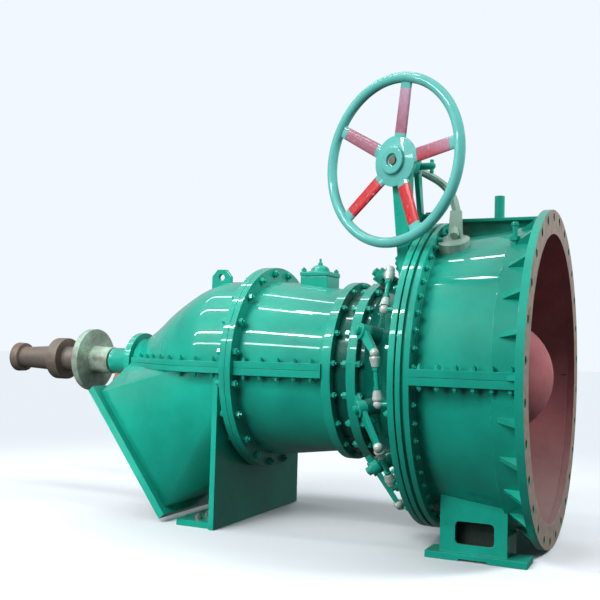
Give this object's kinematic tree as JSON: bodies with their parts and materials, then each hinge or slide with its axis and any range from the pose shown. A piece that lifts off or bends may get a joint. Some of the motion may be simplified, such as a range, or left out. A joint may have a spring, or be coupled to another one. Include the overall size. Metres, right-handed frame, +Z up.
{
  "type": "tubular kaplan turbine",
  "caption": "Horizontal axial-flow Kaplan turbine unit: flanged intake with bulb, guide vanes worked by a handwheel, runner chamber, slanted draft elbow and shaft.",
  "frame": {"origin": "centre of the overall footprint, at the floor that the feet stand on", "axes": "+X along the turbine axis, out of the intake; -Y is the side with the handwheel; +Z up"},
  "size_m": [2.43, 1.175, 1.6231],
  "materials": {
    "green_enamel": "glossy enamel",
    "brown_primer": "matt primer",
    "bare_steel": "turned and dull",
    "rusty_iron": "rusty"
  },
  "bodies": {
    "housing": {"inlet_flange": "brown_primer", "intake_casing_upper": "green_enamel", "intake_casing_lower": "green_enamel", "bulb": "brown_primer", "guide_flange": "green_enamel", "guide_casing": "green_enamel", "throat_ring": "green_enamel", "runner_chamber_upper": "green_enamel", "runner_chamber_lower": "green_enamel", "inspection_cover": "green_enamel", "elbow_upper": "green_enamel", "elbow_lower": "green_enamel", "outlet_flange": "green_enamel", "rear_support": "green_enamel", "rear_foot": "green_enamel", "front_foot_near": "green_enamel", "front_foot_far": "green_enamel", "vent_pipe": "green_enamel", "lifting_lug": "green_enamel", "gland_box": "green_enamel", "gland_sleeve": "green_enamel", "drip_spout": "rusty_iron", "wheel_gearbox": "green_enamel", "wheel_column": "green_enamel", "wheel_bracket": "bare_steel", "bracket_pad": "green_enamel"},
    "rotor": {"main_shaft": "bare_steel", "shaft_disc": "bare_steel", "runner_hub": "bare_steel", "runner_blade_1": "bare_steel", "runner_blade_2": "bare_steel", "runner_blade_3": "bare_steel", "runner_blade_4": "bare_steel"},
    "ring": {"operating_ring": "green_enamel"},
    "crank": {"ring_crank": "green_enamel"},
    "wheel": {"handwheel": "green_enamel", "wheel_spindle": "bare_steel"},
    "vane_01": {"guide_vane_01": "green_enamel"},
    "link_01": {"guide_link_01": "green_enamel"},
    "vane_02": {"guide_vane_02": "green_enamel"},
    "link_02": {"guide_link_02": "green_enamel"},
    "vane_03": {"guide_vane_03": "green_enamel"},
    "link_03": {"guide_link_03": "green_enamel"},
    "vane_04": {"guide_vane_04": "green_enamel"},
    "link_04": {"guide_link_04": "green_enamel"},
    "vane_05": {"guide_vane_05": "green_enamel"},
    "link_05": {"guide_link_05": "green_enamel"},
    "vane_06": {"guide_vane_06": "green_enamel"},
    "link_06": {"guide_link_06": "green_enamel"},
    "vane_07": {"guide_vane_07": "green_enamel"},
    "link_07": {"guide_link_07": "green_enamel"},
    "vane_08": {"guide_vane_08": "green_enamel"},
    "link_08": {"guide_link_08": "green_enamel"},
    "vane_09": {"guide_vane_09": "green_enamel"},
    "link_09": {"guide_link_09": "green_enamel"},
    "vane_10": {"guide_vane_10": "green_enamel"},
    "link_10": {"guide_link_10": "green_enamel"}
  },
  "joints": [
    {"name": "rotor_spin", "type": "hinge", "parent": "housing", "child": "rotor", "pos_m": [0, 0, 0.595], "axis": [1, 0, 0], "continuous": true},
    {"name": "ring_turn", "type": "hinge", "parent": "housing", "child": "ring", "pos_m": [0, 0, 0.595], "axis": [1, 0, 0], "range_deg": [-3, 3]},
    {"name": "crank_swing", "type": "hinge", "parent": "housing", "child": "crank", "pos_m": [0.77, -0.23101, 1.32324], "axis": [1, 0, 0], "range_deg": [-9.8, 9.8]},
    {"name": "wheel_turn", "type": "hinge", "parent": "housing", "child": "wheel", "pos_m": [0.7204, -0.3619, 1.3231], "axis": [-0.3629, -0.9318, 0], "range_deg": [-180, 180]},
    {"name": "vane_01_turn", "type": "hinge", "parent": "housing", "child": "vane_01", "pos_m": [0.685, -0.35538, 0.72084], "axis": [-0.7071, -0.6665, 0.236], "range_deg": [-12, 12]},
    {"name": "link_01_turn", "type": "hinge", "parent": "ring", "child": "link_01", "pos_m": [0.737, -0.49131, 0.50217], "axis": [-0.4607, -0.7142, -0.527], "range_deg": [-7.1, 7.1]},
    {"name": "vane_02_turn", "type": "hinge", "parent": "housing", "child": "vane_02", "pos_m": [0.685, -0.21354, 0.9057], "axis": [-0.7071, -0.4005, 0.5827], "range_deg": [-12, 12]},
    {"name": "link_02_turn", "type": "hinge", "parent": "ring", "child": "link_02", "pos_m": [0.737, -0.45204, 0.80868], "axis": [-0.4607, -0.8876, -0.0065], "range_deg": [-7.1, 7.1]},
    {"name": "vane_03_turn", "type": "hinge", "parent": "housing", "child": "vane_03", "pos_m": [0.685, 0.00987, 0.97187], "axis": [-0.7071, 0.0185, 0.7069], "range_deg": [-12, 12]},
    {"name": "link_03_turn", "type": "hinge", "parent": "ring", "child": "link_03", "pos_m": [0.737, -0.24011, 1.03357], "axis": [-0.4607, -0.7219, 0.5164], "range_deg": [-7.1, 7.1]},
    {"name": "vane_04_turn", "type": "hinge", "parent": "housing", "child": "vane_04", "pos_m": [0.685, 0.2295, 0.89409], "axis": [-0.7071, 0.4305, 0.561], "range_deg": [-12, 12]},
    {"name": "link_04_turn", "type": "hinge", "parent": "ring", "child": "link_04", "pos_m": [0.737, 0.06353, 1.09095], "axis": [-0.4607, -0.2805, 0.8421], "range_deg": [-7.1, 7.1]},
    {"name": "vane_05_turn", "type": "hinge", "parent": "housing", "child": "vane_05", "pos_m": [0.685, 0.36147, 0.70207], "axis": [-0.7071, 0.678, 0.2008], "range_deg": [-12, 12]},
    {"name": "link_05_turn", "type": "hinge", "parent": "ring", "child": "link_05", "pos_m": [0.737, 0.34291, 0.95889], "axis": [-0.4607, 0.2681, 0.8461], "range_deg": [-7.1, 7.1]},
    {"name": "vane_06_turn", "type": "hinge", "parent": "housing", "child": "vane_06", "pos_m": [0.685, 0.35538, 0.46915], "axis": [-0.7071, 0.6665, -0.236], "range_deg": [-12, 12]},
    {"name": "link_06_turn", "type": "hinge", "parent": "ring", "child": "link_06", "pos_m": [0.737, 0.49131, 0.68783], "axis": [-0.4607, 0.7142, 0.527], "range_deg": [-7.1, 7.1]},
    {"name": "vane_07_turn", "type": "hinge", "parent": "housing", "child": "vane_07", "pos_m": [0.685, 0.21354, 0.2843], "axis": [-0.7071, 0.4005, -0.5827], "range_deg": [-12, 12]},
    {"name": "link_07_turn", "type": "hinge", "parent": "ring", "child": "link_07", "pos_m": [0.737, 0.45204, 0.38132], "axis": [-0.4607, 0.8876, 0.0065], "range_deg": [-7.1, 7.1]},
    {"name": "vane_08_turn", "type": "hinge", "parent": "housing", "child": "vane_08", "pos_m": [0.685, -0.00987, 0.21813], "axis": [-0.7071, -0.0185, -0.7069], "range_deg": [-12, 12]},
    {"name": "link_08_turn", "type": "hinge", "parent": "ring", "child": "link_08", "pos_m": [0.737, 0.24011, 0.15643], "axis": [-0.4607, 0.7219, -0.5164], "range_deg": [-7.1, 7.1]},
    {"name": "vane_09_turn", "type": "hinge", "parent": "housing", "child": "vane_09", "pos_m": [0.685, -0.2295, 0.29591], "axis": [-0.7071, -0.4305, -0.561], "range_deg": [-12, 12]},
    {"name": "link_09_turn", "type": "hinge", "parent": "ring", "child": "link_09", "pos_m": [0.737, -0.06353, 0.09905], "axis": [-0.4607, 0.2805, -0.8421], "range_deg": [-7.1, 7.1]},
    {"name": "vane_10_turn", "type": "hinge", "parent": "housing", "child": "vane_10", "pos_m": [0.685, -0.36147, 0.48793], "axis": [-0.7071, -0.678, -0.2008], "range_deg": [-12, 12]},
    {"name": "link_10_turn", "type": "hinge", "parent": "ring", "child": "link_10", "pos_m": [0.737, -0.34291, 0.23111], "axis": [-0.4607, -0.2681, -0.8461], "range_deg": [-7.1, 7.1]}
  ],
  "couplings": [
    {"joint": "crank_swing", "follows": "ring_turn", "ratio": -3.23},
    {"joint": "wheel_turn", "follows": "ring_turn", "ratio": 60},
    {"joint": "vane_01_turn", "follows": "ring_turn", "ratio": -3.944},
    {"joint": "link_01_turn", "follows": "ring_turn", "ratio": 2.326},
    {"joint": "vane_02_turn", "follows": "ring_turn", "ratio": -3.944},
    {"joint": "link_02_turn", "follows": "ring_turn", "ratio": 2.326},
    {"joint": "vane_03_turn", "follows": "ring_turn", "ratio": -3.944},
    {"joint": "link_03_turn", "follows": "ring_turn", "ratio": 2.326},
    {"joint": "vane_04_turn", "follows": "ring_turn", "ratio": -3.944},
    {"joint": "link_04_turn", "follows": "ring_turn", "ratio": 2.326},
    {"joint": "vane_05_turn", "follows": "ring_turn", "ratio": -3.944},
    {"joint": "link_05_turn", "follows": "ring_turn", "ratio": 2.326},
    {"joint": "vane_06_turn", "follows": "ring_turn", "ratio": -3.944},
    {"joint": "link_06_turn", "follows": "ring_turn", "ratio": 2.326},
    {"joint": "vane_07_turn", "follows": "ring_turn", "ratio": -3.944},
    {"joint": "link_07_turn", "follows": "ring_turn", "ratio": 2.326},
    {"joint": "vane_08_turn", "follows": "ring_turn", "ratio": -3.944},
    {"joint": "link_08_turn", "follows": "ring_turn", "ratio": 2.326},
    {"joint": "vane_09_turn", "follows": "ring_turn", "ratio": -3.944},
    {"joint": "link_09_turn", "follows": "ring_turn", "ratio": 2.326},
    {"joint": "vane_10_turn", "follows": "ring_turn", "ratio": -3.944},
    {"joint": "link_10_turn", "follows": "ring_turn", "ratio": 2.326}
  ]
}
